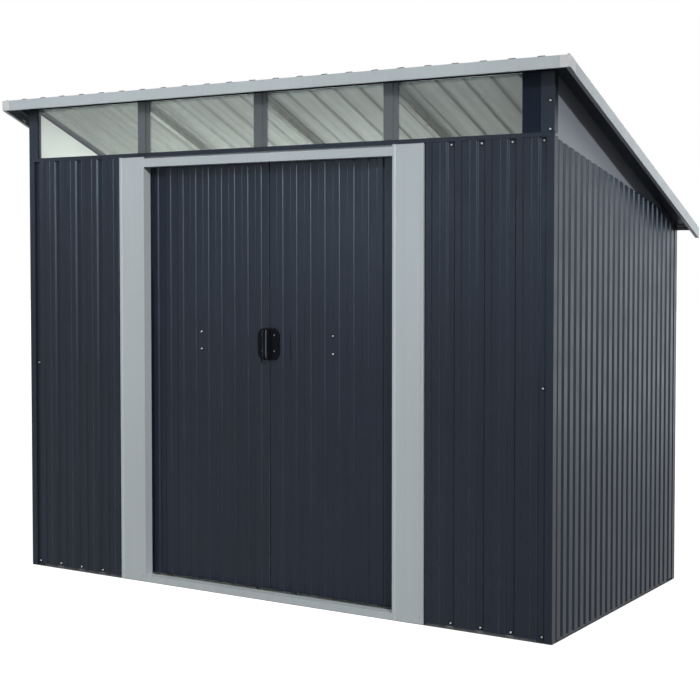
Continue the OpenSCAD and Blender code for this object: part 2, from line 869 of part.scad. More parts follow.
front_base_rail();
rear_base_rail();
side_base_rails();
threshold();
bottom_track();
front_posts();
rear_posts();
front_left_sheet();
front_right_sheet();
left_wall();
right_wall();
rear_left_sheet();
rear_right_sheet();
left_jamb();
right_jamb();
header();
top_track();
window_sill();
head_rail();
mullions();
window_posts();
blank_plate();
window_panes();
left_gable();
right_gable();
side_top_rails();
rear_top_rail();
mid_rails();
roof_sheet_1();
roof_sheet_2();
roof_sheet_3();
roof_sheet_4();
roof_beams();
fascia();
verge_trims();
rear_trim();
corner_caps();
left_door();
left_door_frame();
left_door_runners();
left_handle();
right_door();
right_door_frame();
right_door_runners();
right_handle();
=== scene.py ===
import math

import bpy
from mathutils import Matrix, Vector
from mathutils.bvhtree import BVHTree


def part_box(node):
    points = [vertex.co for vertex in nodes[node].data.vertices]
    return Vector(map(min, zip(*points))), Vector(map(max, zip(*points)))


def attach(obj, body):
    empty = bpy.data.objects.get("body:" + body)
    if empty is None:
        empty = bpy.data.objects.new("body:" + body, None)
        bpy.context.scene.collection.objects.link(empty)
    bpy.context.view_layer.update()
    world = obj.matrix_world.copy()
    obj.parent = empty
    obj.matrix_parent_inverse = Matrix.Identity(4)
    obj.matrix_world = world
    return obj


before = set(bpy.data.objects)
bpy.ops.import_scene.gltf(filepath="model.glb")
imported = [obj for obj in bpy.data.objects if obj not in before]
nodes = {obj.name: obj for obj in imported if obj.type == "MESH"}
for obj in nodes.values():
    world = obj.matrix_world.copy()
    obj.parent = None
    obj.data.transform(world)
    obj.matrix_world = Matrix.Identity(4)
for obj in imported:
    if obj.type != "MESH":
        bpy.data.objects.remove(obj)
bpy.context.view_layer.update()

FRONT = (0, -1, 0)
REAR = (0, 1, 0)
LEFT = (-1, 0, 0)
RIGHT = (1, 0, 0)
SIDES = (("left", -1), ("right", 1))

# Camera that took the picture
CAMERA_PLACE = (3.173, -4.982, 1.294)
CAMERA_TILT = math.radians(87.797)
CAMERA_TURN = math.radians(32.338)
CAMERA_LENS = 73.57
CAMERA_SHIFT = -0.0501
SENSOR_W = 36.0

# Finishes: linear colours
ANTHRACITE = (0.011, 0.0155, 0.0245)
BACKING_COAT = (0.62, 0.65, 0.60)
ROOF_COAT = (0.19, 0.212, 0.195)
# Gables: lighter than the walls' paint, partly a lighter blue-grey and partly painted light for the key
# light and grazing sheen they catch
LIT_GABLE_BLUE = (0.215, 0.230, 0.262)
# Blank plate and head rail: darker than the frame paint, painted shade from the overhang, the fascia and
# the corner post
SHADE_PLATE_BLUE = (0.006, 0.010, 0.019)
DOOR_BLUE = (0.0068, 0.0112, 0.0200)
PALE_GREY = (0.355, 0.390, 0.400)
DARK_GREY = (0.050, 0.056, 0.057)
ZINC = (0.52, 0.55, 0.52)
SCREW_ZINC = (0.28, 0.29, 0.30)
DULL_ZINC = (0.085, 0.087, 0.089)
CLEAR = (0.94, 0.97, 0.96)
CAP_GREY = (0.47, 0.475, 0.47)
NYLON = (0.090, 0.090, 0.085)
BLACK = (0.004, 0.0045, 0.006)
# Painted highlight on the front edge of a handle's grip
GRIP_HIGHLIGHT_GREY = (0.105, 0.112, 0.125)

# What fading adds to the paint's colour
FADING = 0.01

# Level of each finish's mirror reflection, 0.5 for a gloss paint
PAINT_GLOSS = 0.13
# Kept low on the blank plate and head rail, so that their painted shade stays dark
SHADE_PLATE_GLOSS = 0.05
DOOR_GLOSS = 0.17
TRIM_GLOSS = 0.4
PLASTIC_GLOSS = 0.4
HANDLE_GLOSS = 0.04
RUBBER_GLOSS = 0.1
PANE_IOR = 1.49

# Share of bare metal in the look of clean and of dull zinc
CLEAN_METAL = 0.85
DULL_METAL = 0.2

# Lowest and highest roughness of each finish, and what the sheets' inner coats add to it
SATIN = (0.30, 0.40)
PALE_SATIN = (0.36, 0.48)
DARK_SATIN = (0.34, 0.46)
ZINC_ROUGHNESS = (0.34, 0.52)
PANE_ROUGHNESS = (0.0, 0.06)
PLASTIC_SPREAD = 0.05
BACKING_DULLER = 0.15
ROOF_COAT_DULLER = 0.08

# Patterns, in repeats a metre
PEEL_SCALE = 420
SPANGLE_SCALE = 65.0
GRAIN_SCALE = 900
SATIN_SCALE = 9

# Stretch of a pattern along x, y and z: the smaller the number, the longer the marks
EVEN = (1, 1, 1)
WALL_STREAKS = (1, 1, 0.03)
WALL_WAVES = (1, 1, 0.25)
TRIM_STREAKS = (1, 1, 0.02)
TRIM_WAVES = (1, 1, 0.3)
TRIM_PATCHES = (1, 1, 0.4)
BAR_PATCHES = (0.4, 1, 1)
ROOF_STREAKS = (1, 0.03, 0.03)

# Values that a noise mostly lies between
NOISE_RANGE = (0.3, 0.7)
# Half the change of facing over which paint gives way to the inner coat
FACING_EDGE = 0.02

# How far the painted shade under the overhangs reaches in past the gables; how far the painted highlight
# reaches from a grip's front edge, and its strength on the left and on the right grip
SHADE_LAP = 0.05
GRIP_HIGHLIGHT_REACH = 0.007
LEFT_GRIP_HIGHLIGHT = 0.15
RIGHT_GRIP_HIGHLIGHT = 0.8

# Bends of the pressed sheets and rounding of the other pieces' edges
BEND_WIDTH = 0.0022
BEND_STEPS = 3
BEND_ANGLES = (math.radians(25), math.radians(80))
EDGE_WIDTH = 0.0004
EDGE_STEPS = 2
EDGE_ANGLES = (math.radians(25), math.pi)
FLAT_ANGLE = math.radians(1)
WELD_DISTANCE = 1e-5

# The roof and walls as they stand in the part
ROOF_SHEETS = 4
fascia_lo, fascia_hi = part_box("fascia")
rear_trim_lo, rear_trim_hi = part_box("rear_trim")
ROOF_FALL = (fascia_hi.z - rear_trim_hi.z) / (rear_trim_lo.y - fascia_lo.y)
ROOF_UP = Vector((0, ROOF_FALL, 1)).normalized()
wall_lo, wall_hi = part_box("right_wall")
gable_lo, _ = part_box("right_gable")
handle_lo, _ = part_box("left_handle")


def scaled(colour, share):
    return tuple(c * share for c in colour)


class Shader:
    """A material's node tree, with short ways to add and join nodes."""

    def __init__(self, name):
        self.material = bpy.data.materials.new(name)
        self.material.use_nodes = True
        self.tree = self.material.node_tree
        self.surface = self.tree.nodes["Principled BSDF"]
        self.place = self.add("TexCoord")

    def add(self, kind, inputs=None, **settings):
        node = self.tree.nodes.new("ShaderNode" + kind)
        for key, value in settings.items():
            setattr(node, key, value)
        for key, value in (inputs or {}).items():
            self.feed(node.inputs[key], value)
        return node

    def feed(self, socket, value):
        if isinstance(value, bpy.types.NodeSocket):
            self.tree.links.new(value, socket)
        else:
            socket.default_value = value

    def set(self, **values):
        """Sets the surface's own sockets, named with _ for a space."""
        for key, value in values.items():
            self.feed(self.surface.inputs[key.replace("_", " ")], value)

    def axes(self):
        """The place on the surface: x, y and z."""
        return self.add("SeparateXYZ", {0: self.place.outputs["Object"]}).outputs

    def noise(self, scale, detail=2.0, stretch=EVEN):
        mapped = self.add("Mapping", {"Vector": self.place.outputs["Object"], "Scale": stretch})
        inputs = {"Vector": mapped.outputs[0], "Scale": scale, "Detail": detail}
        return self.add("TexNoise", inputs).outputs["Fac"]

    def span(self, value, low, high, to_low=0.0, to_high=1.0):
        """Maps value from low..high to to_low..to_high, clamped."""
        keys = ("Value", "From Min", "From Max", "To Min", "To Max")
        values = (value, low, high, to_low, to_high)
        return self.add("MapRange", dict(zip(keys, values))).outputs["Result"]

    def patchy(self, scale, low, high):
        """A number that drifts from low to high over the surface."""
        return self.span(self.noise(scale, 3.0), *NOISE_RANGE, low, high)

    def math(self, operation, a, b):
        return self.add("Math", {0: a, 1: b}, operation=operation).outputs[0]

    def either(self, a, b):
        return self.math("MAXIMUM", a, b)

    def beyond(self, value, limit):
        """1 where value is further from zero than limit, on either side."""
        return self.math("GREATER_THAN", self.math("ABSOLUTE", value, 0.0), limit)

    def facing(self, outward):
        """1 where the surface faces outward, 0 where it faces the other way."""
        ways = {0: self.place.outputs["Normal"], 1: outward}
        turned = self.add("VectorMath", ways, operation="DOT_PRODUCT").outputs["Value"]
        return self.span(turned, -FACING_EDGE, FACING_EDGE)

    def mix(self, factor, a, b):
        node = self.add("Mix", {0: factor}, data_type="RGBA")
        for index, value in ((6, a), (7, b)):
            self.feed(node.inputs[index], (*value, 1) if isinstance(value, tuple) else value)
        return node.outputs[2]

    def varied(self, colour, amount, scale, stretch=EVEN):
        """The colour, a little darker and lighter from place to place."""
        drift = self.span(self.noise(scale, 4.0, stretch), *NOISE_RANGE)
        return self.mix(drift, scaled(colour, 1 - amount), scaled(colour, 1 + amount))

    def bump(self, height, strength, distance, under=None):
        node = self.add("Bump", {"Height": height, "Strength": strength, "Distance": distance})
        if under is not None:
            self.feed(node.inputs["Normal"], under)
        return node.outputs["Normal"]

    def orange_peel(self, strength=0.10, under=None):
        """Fine unevenness of a sprayed and baked coat."""
        return self.bump(self.noise(PEEL_SCALE, 1.0), strength, 0.0004, under)


def spangle(shader, colour, depth=0.16):
    """Colour and roughness of zinc crystals about 15 mm across."""
    inputs = {"Vector": shader.place.outputs["Object"], "Scale": SPANGLE_SCALE}
    cells = shader.add("TexVoronoi", inputs).outputs["Color"]
    cell = shader.add("SeparateColor", {"Color": cells}).outputs[0]
    tint = shader.mix(cell, scaled(colour, 1 - depth), scaled(colour, 1 + depth))
    return tint, shader.span(cell, 0, 1, *ZINC_ROUGHNESS)


def paint(shader, colour=ANTHRACITE, gloss=PAINT_GLOSS):
    """Satin paint, a little uneven and faded in streaks down the sheet."""
    streaks = shader.span(shader.noise(26, 3.0, WALL_STREAKS), 0.45, 0.8, to_high=0.3)
    waves = shader.bump(shader.noise(5, 1.0, WALL_WAVES), strength=0.25, distance=0.002)
    shader.set(Specular_IOR_Level=gloss, Normal=shader.orange_peel(under=waves))
    faded = tuple(c + FADING for c in colour)
    return shader.mix(streaks, shader.varied(colour, 0.12, 1.6), faded)


def painted(name, colour=ANTHRACITE, gloss=PAINT_GLOSS):
    """Paint on every face."""
    s = Shader(name)
    s.set(Base_Color=paint(s, colour, gloss), Roughness=s.patchy(SATIN_SCALE, *SATIN))
    return s.material


def coated(s, outside, coat, outer, duller):
    """The outer paint where outside is 1, and elsewhere a coat that is duller by the given roughness."""
    s.set(
        Base_Color=s.mix(outside, coat, outer),
        Roughness=s.math("ADD", s.patchy(SATIN_SCALE, *SATIN), s.span(outside, 0, 1, duller, 0.0)),
    )
    return s.material


def painted_sheet(name, outward, colour=ANTHRACITE, gloss=PAINT_GLOSS):
    """Paint on the side that faces outward, and a pale backing coat on the other."""
    s = Shader(name)
    backing = s.varied(BACKING_COAT, 0.05, 4)
    return coated(s, s.facing(outward), backing, paint(s, colour, gloss), BACKING_DULLER)


def painted_roof(name, up, half_width, front):
    """Paint on top, dark paint under the overhangs as painted shade, and a rolled zinc coat over the room.
    """
    s = Shader(name)
    x, y, _ = s.axes()
    # The dark paint under the overhangs, and a little way in past the gables and the front wall, is painted
    # shade
    overhang_shade = s.either(s.beyond(x, half_width), s.math("LESS_THAN", y, front))
    cells, _ = spangle(s, ROOF_COAT, 0.10)
    rolled = s.span(s.noise(34, 3.0, ROOF_STREAKS), 0.35, 0.7)
    coat = s.mix(rolled, scaled(ROOF_COAT, 0.72), cells)
    return coated(s, s.either(s.facing(up), overhang_shade), coat, paint(s), ROOF_COAT_DULLER)


def pale_trim():
    """Pale paint with faint dirt in streaks."""
    s = Shader("pale_trim")
    streaks = s.span(s.noise(60, 4.0, TRIM_STREAKS), 0.42, 0.75, to_high=0.22)
    clean = s.varied(PALE_GREY, 0.05, 2.2, TRIM_PATCHES)
    waves = s.bump(s.noise(4, 1.0, TRIM_WAVES), strength=0.2, distance=0.002)
    s.set(
        Base_Color=s.mix(streaks, clean, scaled(PALE_GREY, 0.8)),
        Roughness=s.patchy(12, *PALE_SATIN),
        Specular_IOR_Level=TRIM_GLOSS,
        Normal=s.orange_peel(under=waves),
    )
    return s.material


def dark_trim():
    s = Shader("dark_trim")
    s.set(
        Base_Color=s.varied(DARK_GREY, 0.10, 7, BAR_PATCHES),
        Roughness=s.patchy(14, *DARK_SATIN),
        Specular_IOR_Level=TRIM_GLOSS,
        Normal=s.orange_peel(0.12),
    )
    return s.material


def galvanised_steel(name, zinc, metallic=CLEAN_METAL):
    """Zinc crystals, dulled in patches."""
    s = Shader(name)
    colour, roughness = spangle(s, zinc)
    dulled = s.span(s.noise(3, 4.0), 0.35, 0.7, to_high=0.35)
    s.set(
        Base_Color=s.mix(dulled, colour, scaled(zinc, 0.7)),
        Metallic=metallic,
        Roughness=roughness,
        Normal=s.bump(s.noise(160), strength=0.08, distance=0.0005),
    )
    return s.material


def clear_pane():
    s = Shader("clear_pane")
    s.set(
        Base_Color=s.varied(CLEAR, 0.02, 3),
        Transmission_Weight=1.0,
        IOR=PANE_IOR,
        Roughness=s.span(s.noise(5, 4.0), 0.4, 0.8, *PANE_ROUGHNESS),
        Normal=s.bump(s.noise(2.5, 1.0), strength=0.05, distance=0.002),
    )
    return s.material


def moulded_plastic(name, colour, roughness, grain, gloss=PLASTIC_GLOSS, edge_highlight=0.0):
    """Plastic with a fine moulded grain, lightened grey at the front edge of a handle's grip by up to the
    given amount: a painted highlight where the edge catches the light.
    """
    s = Shader(name)
    tint = s.varied(colour, 0.06, 12)
    # Painted highlight along the grip's front edge
    if edge_highlight:
        _, y, _ = s.axes()
        most = s.patchy(40, 0.6 * edge_highlight, edge_highlight)
        highlit_edge = s.span(y, handle_lo.y, handle_lo.y + GRIP_HIGHLIGHT_REACH, most, 0.0)
        tint = s.mix(highlit_edge, tint, GRIP_HIGHLIGHT_GREY)
    s.set(
        Base_Color=tint,
        Roughness=s.patchy(30, roughness - PLASTIC_SPREAD, roughness + PLASTIC_SPREAD),
        Specular_IOR_Level=gloss,
        Normal=s.bump(s.noise(GRAIN_SCALE), strength=grain, distance=0.0003),
    )
    return s.material


def bend_marks():
    """Node group that marks the edges to bevel by their angle, and drops the imported normals."""
    group = bpy.data.node_groups.new("bend_marks", "GeometryNodeTree")
    face = group.interface
    face.new_socket("Geometry", in_out="INPUT", socket_type="NodeSocketGeometry")
    lowest = face.new_socket("Lowest", in_out="INPUT", socket_type="NodeSocketFloat")
    highest = face.new_socket("Highest", in_out="INPUT", socket_type="NodeSocketFloat")
    face.new_socket("Geometry", in_out="OUTPUT", socket_type="NodeSocketGeometry")
    add, link = group.nodes.new, group.links.new
    start = add("NodeGroupInput")
    angle = add("GeometryNodeInputMeshEdgeAngle").outputs["Unsigned Angle"]

    def compared(operation, limit):
        node = add("FunctionNodeCompare")
        node.operation = operation
        link(angle, node.inputs["A"])
        link(start.outputs[limit], node.inputs["B"])
        return node.outputs[0]

    def marked(attribute, kind, value):
        node = add("GeometryNodeStoreNamedAttribute")
        node.data_type = kind
        node.domain = "EDGE"
        node.inputs["Name"].default_value = attribute
        link(value, node.inputs["Value"])
        return node

    within = add("FunctionNodeBooleanMath")
    link(compared("GREATER_THAN", "Lowest"), within.inputs[0])
    link(compared("LESS_EQUAL", "Highest"), within.inputs[1])
    forget = add("GeometryNodeRemoveAttribute")
    forget.inputs["Name"].default_value = "custom_normal"
    chain = [
        start,
        forget,
        add("GeometryNodeSetShadeSmooth"),
        marked("bevel_weight_edge", "FLOAT", within.outputs[0]),
        marked("sharp_edge", "BOOLEAN", compared("GREATER_THAN", "Highest")),
        add("NodeGroupOutput"),
    ]
    for before, after in zip(chain, chain[1:]):
        link(before.outputs["Geometry"], after.inputs["Geometry"])
    return group, lowest.identifier, highest.identifier


MARKS, LOWEST, HIGHEST = bend_marks()


def finish_node(name, material, angles=EDGE_ANGLES, width=EDGE_WIDTH, segments=EDGE_STEPS):
    """Gives a CAD solid its material, joins its faces and rounds the edges whose angle is in the range."""
    obj = nodes[name]
    obj.data.materials.clear()
    obj.data.materials.append(material)
    weld = obj.modifiers.new("weld", "WELD")
    weld.merge_threshold = WELD_DISTANCE
    flat = obj.modifiers.new("flat", "DECIMATE")
    flat.decimate_type = "DISSOLVE"
    flat.angle_limit = FLAT_ANGLE
    marks = obj.modifiers.new("marks", "NODES")
    marks.node_group = MARKS
    marks[LOWEST], marks[HIGHEST] = angles
    bevel = obj.modifiers.new("bend", "BEVEL")
    bevel.limit_method = "WEIGHT"
    bevel.width = width
    bevel.segments = segments
    bevel.use_clamp_overlap = False
    bevel.harden_normals = True


# Painted shade under the overhangs: from a little inside the gables outward, and in front of the front wall
ROOF_PAINT = painted_roof("painted_roof", ROOF_UP, gable_lo.x - SHADE_LAP, wall_lo.y)
FRAME_PAINT = painted("painted_frame")
STEEL = galvanised_steel("galvanised_steel", ZINC)
SCREW_STEEL = galvanised_steel("screw_steel", SCREW_ZINC)
DULL_STEEL = galvanised_steel("dull_steel", DULL_ZINC, DULL_METAL)
RUBBER = moulded_plastic("washer_rubber", BLACK, 0.6, 0.12, RUBBER_GLOSS)

SHEETS = {
    painted_sheet("painted_front", FRONT): ("front_left_sheet", "front_right_sheet"),
    painted_sheet("painted_door", FRONT, DOOR_BLUE, DOOR_GLOSS): ("left_door", "right_door"),
    painted_sheet("painted_rear", REAR): ("rear_left_sheet", "rear_right_sheet"),
    painted_sheet("painted_left", LEFT): ("left_wall",),
    painted_sheet("painted_right", RIGHT): ("right_wall",),
    ROOF_PAINT: tuple(f"roof_sheet_{i + 1}" for i in range(ROOF_SHEETS)),
}
for material, names in SHEETS.items():
    for name in names:
        finish_node(name, material, BEND_ANGLES, BEND_WIDTH, BEND_STEPS)

OTHERS = {
    # Darker paint on the blank plate and head rail is painted shade
    painted("painted_shade_plate", SHADE_PLATE_BLUE, SHADE_PLATE_GLOSS): ("blank_plate", "head_rail"),
    FRAME_PAINT: (
        "front_posts", "rear_posts", "window_posts", "window_sill",
        "side_top_rails", "left_door_frame", "right_door_frame",
    ),
    # Gables in the lighter blue, partly painted light
    painted_sheet("painted_left_gable", LEFT, LIT_GABLE_BLUE): ("left_gable",),
    painted_sheet("painted_right_gable", RIGHT, LIT_GABLE_BLUE): ("right_gable",),
    pale_trim(): (
        "left_jamb", "right_jamb", "header", "threshold", "fascia", "verge_trims", "rear_trim",
    ),
    dark_trim(): ("mullions",),
    DULL_STEEL: ("front_base_rail", "rear_base_rail", "side_base_rails"),
    STEEL: ("bottom_track", "top_track", "rear_top_rail", "mid_rails", "roof_beams"),
    clear_pane(): ("window_panes",),
    moulded_plastic("cap_plastic", CAP_GREY, 0.45, 0.06): ("corner_caps",),
    moulded_plastic("runner_plastic", NYLON, 0.5, 0.04): ("left_door_runners", "right_door_runners"),
    # The grips' front edges carry a painted highlight, stronger on the right-hand grip
    moulded_plastic("left_handle_plastic", BLACK, 0.6, 0.22, HANDLE_GLOSS, LEFT_GRIP_HIGHLIGHT): ("left_handle",),
    moulded_plastic("right_handle_plastic", BLACK, 0.6, 0.22, HANDLE_GLOSS, RIGHT_GRIP_HIGHLIGHT): ("right_handle",),
}
for material, names in OTHERS.items():
    for name in names:
        finish_node(name, material)


def add_piece(name, points, faces, material, body):
    """A new mesh that rides on a CAD body."""
    mesh = bpy.data.meshes.new(name)
    mesh.from_pydata(points, [], faces)
    mesh.materials.append(material)
    obj = bpy.data.objects.new(name, mesh)
    bpy.context.scene.collection.objects.link(obj)
    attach(obj, body)


def lathe(profile, sides):
    """Vertices and faces of a closed turned shape: profile is (radius, height) from base to tip."""
    points, faces = [], []
    for radius, height in profile:
        for i in range(sides):
            turn = 2 * math.pi * i / sides
            points.append(Vector((radius * math.cos(turn), radius * math.sin(turn), height)))
    rings = len(profile)
    for r in range(rings - 1):
        for i in range(sides):
            j = (i + 1) % sides
            faces.append((r * sides + i, r * sides + j, (r + 1) * sides + j, (r + 1) * sides + i))
    faces.append(tuple(reversed(range(sides))))
    faces.append(tuple(range((rings - 1) * sides, rings * sides)))
    return points, faces


# A hexagon-head screw with its flange, the rubber washer under it, and a small round-headed screw:
# the (radius, height) profiles of each, with the number of sides
SCREW_PARTS = (
    ([(0.0040, 0.0012), (0.0042, 0.0017), (0.0037, 0.0023), (0.0032, 0.0025)], 20),
    ([(0.0031, 0.0022), (0.0031, 0.0046), (0.0026, 0.0053), (0.0012, 0.0055)], 6),
)
WASHER_PARTS = (([(0.0079, -0.0002), (0.0081, 0.0006), (0.0072, 0.0014), (0.0050, 0.0017)], 20),)
PAN_PARTS = (([(0.0033, -0.0002), (0.0035, 0.0008), (0.0028, 0.0019), (0.0013, 0.0024)], 16),)

# How far outside a surface the search for a screw's seat starts
SEAT_REACH = 0.3

# Heights of the rows of screws, and how far the top row lies under a sheet's edge
BASE_Z = 0.020
MID_Z = 0.862
TOP_DROP = 0.012
# Ribs of the sheets, the front sheets' valleys, and the height of the sloping rails' face
FRONT_VALLEY = 0.024
FRONT_PANS = 4
SIDE_RIBS = 23
REAR_RIBS = 23
ROOF_RIBS = 6
RAIL_BAND = 0.028
# Single screws: on the right-hand window post, the jambs, the doors, the handles and the roof beams
POST_SCREW_X = 1.185
POST_SCREW_Z = (1.728, 1.823)
JAMB_SCREW_X = (0.590, 0.689)
JAMB_SCREW_Z = 0.027
DOOR_SCREW_X = {"left": -0.327, "right": 0.292}
DOOR_SCREW_Z = (0.945, 1.012)
HANDLE_SCREW_Z = (0.947, 1.008)
BEAM_SCREW_X = (-0.570, 0.0068, 0.570)
BEAM_STEPS = 4


def add_screws(name, parts, places, material, body):
    """One mesh of the turned parts, repeated at each place."""
    points, faces = [], []
    for place in places:
        for profile, sides in parts:
            shape_points, shape_faces = lathe(profile, sides)
            base = len(points)
            points.extend(place @ p for p in shape_points)
            faces.extend(tuple(base + i for i in f) for f in shape_faces)
    add_piece(name, points, faces, material, body)


def surface_of(name):
    mesh = nodes[name].data
    return BVHTree.FromPolygons([v.co for v in mesh.vertices], [p.vertices for p in mesh.polygons])


def seat(tree, point, inward):
    """Matrix of a screw whose base lies on the surface that is met from point, going inward."""
    inward = Vector(inward).normalized()
    met = tree.ray_cast(Vector(point) - SEAT_REACH * inward, inward)[0]
    if met is None:
        raise SystemExit(f"no surface for a screw at {tuple(point)}")
    turn = (-inward).to_track_quat("Z", "Y").to_matrix().to_4x4()
    return Matrix.Translation(met) @ turn


def spaced(first, last, count):
    """The places first..last, split into count equal steps."""
    return [first + (last - first) * i / count for i in range(count + 1)]


def roof_z(y):
    return fascia_hi.z - (y - fascia_lo.y) * ROOF_FALL


def front_screws():
    """In the valleys of the front sheets and on the right-hand window post. The left-hand sheet has
    no top row."""
    found = []
    for side, sign in SIDES:
        name = f"front_{side}_sheet"
        lo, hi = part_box(name)
        inner, outer = sorted((abs(lo.x), abs(hi.x)))
        tree = surface_of(name)
        valleys = spaced(inner + FRONT_VALLEY / 2, outer - FRONT_VALLEY / 2, FRONT_PANS)[1:]
        heights = (BASE_Z, hi.z - TOP_DROP) if side == "right" else (BASE_Z,)
        for x in valleys:
            found += [seat(tree, (sign * x, lo.y, z), REAR) for z in heights]
        found.append(seat(tree, (sign * valleys[-1], lo.y, MID_Z), REAR))
    post = surface_of("window_posts")
    return found + [seat(post, (POST_SCREW_X, wall_lo.y, z), REAR) for z in POST_SCREW_Z]


def roof_screws():
    """In every valley over the head rail and the rear top rail, and along the beams."""
    found = []
    head_lo, head_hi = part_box("head_rail")
    rear_lo, rear_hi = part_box("rear_top_rail")
    first = (head_lo.y + head_hi.y) / 2
    last = (rear_lo.y + rear_hi.y) / 2
    between = spaced(first, last, BEAM_STEPS)[1:-1]
    for i in range(ROOF_SHEETS):
        name = f"roof_sheet_{i + 1}"
        lo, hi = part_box(name)
        tree = surface_of(name)
        step = (hi.x - lo.x) / ROOF_RIBS
        places = [(lo.x + (k + 0.5) * step, y) for k in range(ROOF_RIBS) for y in (first, last)]
        places += [(x, y) for x in BEAM_SCREW_X if lo.x < x < hi.x for y in between]
        found += [seat(tree, (x, y, roof_z(y)), -ROOF_UP) for x, y in places]
    return found


def wall_screws():
    """Small screws in every second valley of the side and rear sheets, and at the foot of the jambs."""
    found = []
    rail_lo, rail_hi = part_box("side_top_rails")
    fall = (rail_hi.z - rail_lo.z - RAIL_BAND) / (rail_hi.y - rail_lo.y)
    for name, inward in (("left_wall", RIGHT), ("right_wall", LEFT)):
        lo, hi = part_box(name)
        tree = surface_of(name)
        x = lo.x if inward == RIGHT else hi.x
        for y in spaced(lo.y, hi.y, SIDE_RIBS)[2:-1:2]:
            top = rail_hi.z - RAIL_BAND / 2 - (y - rail_lo.y) * fall
            found += [seat(tree, (x, y, z), inward) for z in (BASE_Z, MID_Z)]
            if y < rail_hi.y:
                found.append(seat(tree, (x, y, top), inward))
    for name in ("rear_left_sheet", "rear_right_sheet"):
        lo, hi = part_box(name)
        tree = surface_of(name)
        for x in spaced(lo.x, hi.x, REAR_RIBS)[1:-1:2]:
            found += [seat(tree, (x, hi.y, z), FRONT) for z in (BASE_Z, MID_Z, hi.z - TOP_DROP)]
    for side, sign in SIDES:
        jamb = surface_of(f"{side}_jamb")
        found += [seat(jamb, (sign * x, wall_lo.y, JAMB_SCREW_Z), REAR) for x in JAMB_SCREW_X]
    return found


def door_screws(side):
    """On the line of the door's brace."""
    sheet = surface_of(f"{side}_door")
    return [seat(sheet, (DOOR_SCREW_X[side], wall_lo.y, z), REAR) for z in DOOR_SCREW_Z]


def handle_screws(side):
    """In the middle of the handle's plate."""
    name = f"{side}_handle"
    lo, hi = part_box(name)
    tree = surface_of(name)
    return [seat(tree, ((lo.x + hi.x) / 2, wall_lo.y, z), REAR) for z in HANDLE_SCREW_Z]


for body, places in (
    ("shed", front_screws() + roof_screws()),
    ("left_leaf", door_screws("left")),
    ("right_leaf", door_screws("right")),
):
    add_screws(f"{body}_screws", SCREW_PARTS, places, SCREW_STEEL, body)
    add_screws(f"{body}_washers", WASHER_PARTS, places, RUBBER, body)
add_screws("wall_screws", PAN_PARTS, wall_screws(), SCREW_STEEL, "shed")
for side, _ in SIDES:
    name = f"{side}_handle_screws"
    add_screws(name, PAN_PARTS, handle_screws(side), DULL_STEEL, f"{side}_leaf")


# Strips over the joints of the roof and rear sheets: widths, thickness, how deep they sink into the
# sheets, how far from a sheet's edge they are seated, and how far they stop short of the roof's ends
ROOF_SEAM_W = 0.018
REAR_SEAM_W = 0.007
SEAM_T = 0.0006
SEAM_SINK = 0.0001
SEAM_INSET = 0.001
SEAM_REACH = 0.012
BOX_FACES = ((0, 1, 2, 3), (7, 6, 5, 4), (4, 5, 1, 0), (5, 6, 2, 1), (6, 7, 3, 2), (7, 4, 0, 3))


def seam_strips(name, lines, width):
    """Thin strips, each along a line from start to end on a surface that faces outward."""
    points, faces = [], []
    for start, end, outward in lines:
        side = outward.cross(end - start).normalized() * width / 2
        base = len(points)
        for height in (-SEAM_SINK, SEAM_T):
            lift = outward * height
            points += [start - side + lift, start + side + lift, end + side + lift, end - side + lift]
        faces += [tuple(base + i for i in quad) for quad in BOX_FACES]
    add_piece(name, points, faces, FRAME_PAINT, "shed")


def roof_seams():
    """Along the right-hand edge of every roof sheet but the last."""
    found = []
    for i in range(ROOF_SHEETS - 1):
        name = f"roof_sheet_{i + 1}"
        lo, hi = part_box(name)
        tree = surface_of(name)
        ends = []
        for y in (lo.y + SEAM_REACH, hi.y - SEAM_REACH):
            met = seat(tree, (hi.x - SEAM_INSET, y, roof_z(y)), -ROOF_UP).translation
            ends.append(Vector((hi.x, met.y, met.z)))
        found.append((*ends, ROOF_UP))
    return found


def rear_seam():
    """Up the middle of the rear wall."""
    name = "rear_left_sheet"
    lo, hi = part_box(name)
    edge, inward = (lo.x, 1) if abs(lo.x) < abs(hi.x) else (hi.x, -1)
    tree = surface_of(name)
    ends = []
    for z in (lo.z + SEAM_INSET, hi.z - SEAM_INSET):
        met = seat(tree, (edge + inward * SEAM_INSET, hi.y, z), FRONT).translation
        ends.append(Vector((0, met.y, met.z)))
    return [(*ends, Vector(REAR))]


seam_strips("roof_seams", roof_seams(), ROOF_SEAM_W)
seam_strips("rear_seam", rear_seam(), REAR_SEAM_W)


# The studio: soft light from all round, and a floor with its colours for what sees it and for bounced light
WHITE = (1, 1, 1, 1)
WORLD_COLOUR = (0.95, 0.97, 1.0, 1)
WORLD_STRENGTH = 0.36
FLOOR_SIZE = 60
FLOOR_SEEN = (0.34, 0.34, 0.34)
FLOOR_GLOW = 0.82
FLOOR_BOUNCE = (0.12, 0.12, 0.12)
FLOOR_ROUGHNESS = 0.9

# Suns: where each stands, its strength, and its width in degrees
SUN_DISTANCE = 5
SUNS = {
    "key": ((0.66, -0.62, 0.43), 2.5, 3),
    "top": ((0.10, -0.30, 0.95), 0.6, 40),
    "fill": ((-0.62, 0.58, 0.52), 0.9, 60),
}

